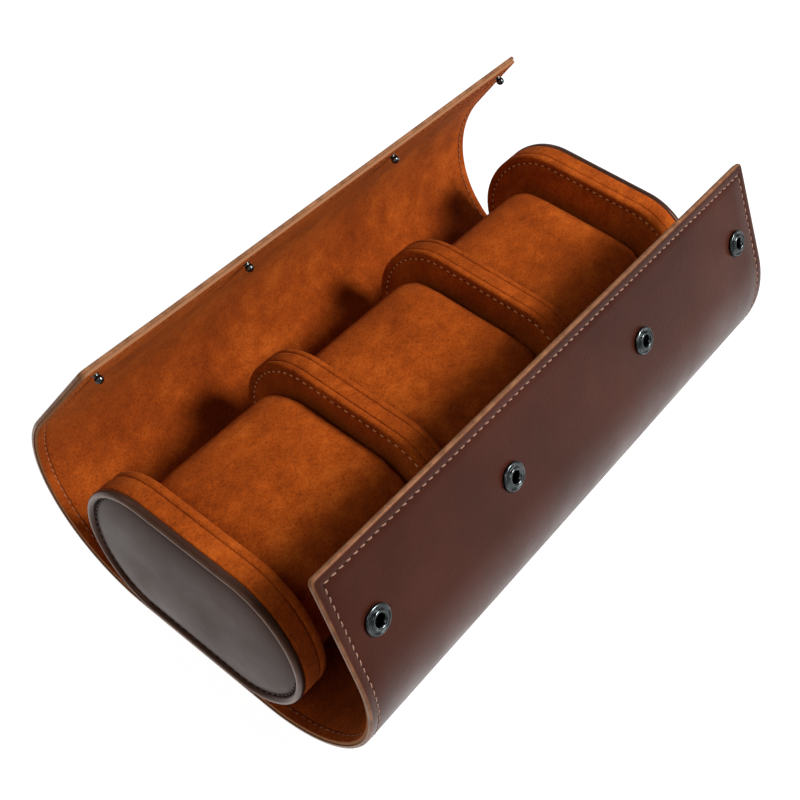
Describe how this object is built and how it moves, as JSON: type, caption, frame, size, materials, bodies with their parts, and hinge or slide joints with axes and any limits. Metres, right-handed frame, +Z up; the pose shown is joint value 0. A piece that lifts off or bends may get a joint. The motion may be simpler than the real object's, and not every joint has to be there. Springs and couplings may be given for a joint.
{
  "type": "watch roll case",
  "caption": "Leather watch roll case, open: bent flaps with press fasteners around padded slots with lift-out cushions, dividers and oblong end caps.",
  "frame": {"origin": "on the flat underside of the base, midway along the roll and under the middle of the end caps", "axes": "+X along the roll, +Y towards the back flap that carries the ball studs, +Z up; the front flap with the socket halves is on -Y"},
  "size_m": [0.252, 0.1559, 0.1075],
  "materials": {
    "wrap_leather": "smooth dark brown leather with a soft sheen",
    "disc_leather": "smooth taupe-brown leather disc",
    "suede": "orange-brown suede lining",
    "band_suede": "orange-brown suede side band",
    "cushion_suede": "orange-brown suede over foam",
    "core_board": "stiff board core, hidden",
    "gunmetal": "dark gunmetal plating"
  },
  "bodies": {
    "case": {"cap_left_band": "band_suede", "cap_left_core": "core_board", "cap_left_disc": "disc_leather", "cap_left_face": "suede", "cap_left_rim": "wrap_leather", "cap_right_band": "band_suede", "cap_right_core": "core_board", "cap_right_disc": "disc_leather", "cap_right_face": "suede", "cap_right_rim": "wrap_leather", "divider_left_band": "band_suede", "divider_left_core": "core_board", "divider_left_face_left": "suede", "divider_left_face_right": "suede", "divider_right_band": "band_suede", "divider_right_core": "core_board", "divider_right_face_left": "suede", "divider_right_face_right": "suede", "wrap_base_leather": "wrap_leather", "wrap_base_lining": "suede"},
    "front_lower": {"front_lower_leather": "wrap_leather", "front_lower_lining": "suede"},
    "front_middle": {"front_middle_leather": "wrap_leather", "front_middle_lining": "suede"},
    "front_top": {"front_top_leather": "wrap_leather", "front_top_lining": "suede", "socket_1": "gunmetal", "socket_2": "gunmetal", "socket_3": "gunmetal", "socket_4": "gunmetal", "socket_eyelet_1": "gunmetal", "socket_eyelet_2": "gunmetal", "socket_eyelet_3": "gunmetal", "socket_eyelet_4": "gunmetal"},
    "back_lower": {"back_lower_leather": "wrap_leather", "back_lower_lining": "suede"},
    "back_middle": {"back_middle_leather": "wrap_leather", "back_middle_lining": "suede"},
    "back_top": {"back_top_leather": "wrap_leather", "back_top_lining": "suede", "stud_1": "gunmetal", "stud_2": "gunmetal", "stud_3": "gunmetal", "stud_4": "gunmetal"},
    "cushion_left": {"cushion_left": "cushion_suede"},
    "cushion_middle": {"cushion_middle": "cushion_suede"},
    "cushion_right": {"cushion_right": "cushion_suede"}
  },
  "joints": [
    {"name": "front_fold", "type": "hinge", "parent": "case", "child": "front_lower", "pos_m": [0, -0.0308, 0.0014], "axis": [1, 0, 0], "range_deg": [-32.63, 0]},
    {"name": "front_middle_fold", "type": "hinge", "parent": "front_lower", "child": "front_middle", "pos_m": [0, -0.07056, 0.02138], "axis": [1, 0, 0], "range_deg": [-11.7, 0]},
    {"name": "front_top_fold", "type": "hinge", "parent": "front_middle", "child": "front_top", "pos_m": [0, -0.0724, 0.06633], "axis": [1, 0, 0], "range_deg": [-19.23, 0]},
    {"name": "back_fold", "type": "hinge", "parent": "case", "child": "back_lower", "pos_m": [0, 0.0296, 0.00142], "axis": [-1, 0, 0], "range_deg": [-25.51, 0]},
    {"name": "back_middle_fold", "type": "hinge", "parent": "back_lower", "child": "back_middle", "pos_m": [0, 0.06177, 0.0153], "axis": [-1, 0, 0], "range_deg": [-13.21, 0]},
    {"name": "back_top_fold", "type": "hinge", "parent": "back_middle", "child": "back_top", "pos_m": [0, 0.06885, 0.07233], "axis": [-1, 0, 0], "range_deg": [-18.08, 0]},
    {"name": "cushion_left_lift", "type": "slide", "parent": "case", "child": "cushion_left", "axis": [0, 0, 1], "range_m": [0, 0.09]},
    {"name": "cushion_middle_lift", "type": "slide", "parent": "case", "child": "cushion_middle", "axis": [0, 0, 1], "range_m": [0, 0.09]},
    {"name": "cushion_right_lift", "type": "slide", "parent": "case", "child": "cushion_right", "axis": [0, 0, 1], "range_m": [0, 0.09]}
  ],
  "couplings": [
    {"joint": "front_middle_fold", "follows": "front_fold", "ratio": 0.35832},
    {"joint": "front_top_fold", "follows": "front_fold", "ratio": 0.58896},
    {"joint": "back_middle_fold", "follows": "back_fold", "ratio": 0.5175},
    {"joint": "back_top_fold", "follows": "back_fold", "ratio": 0.70822}
  ]
}
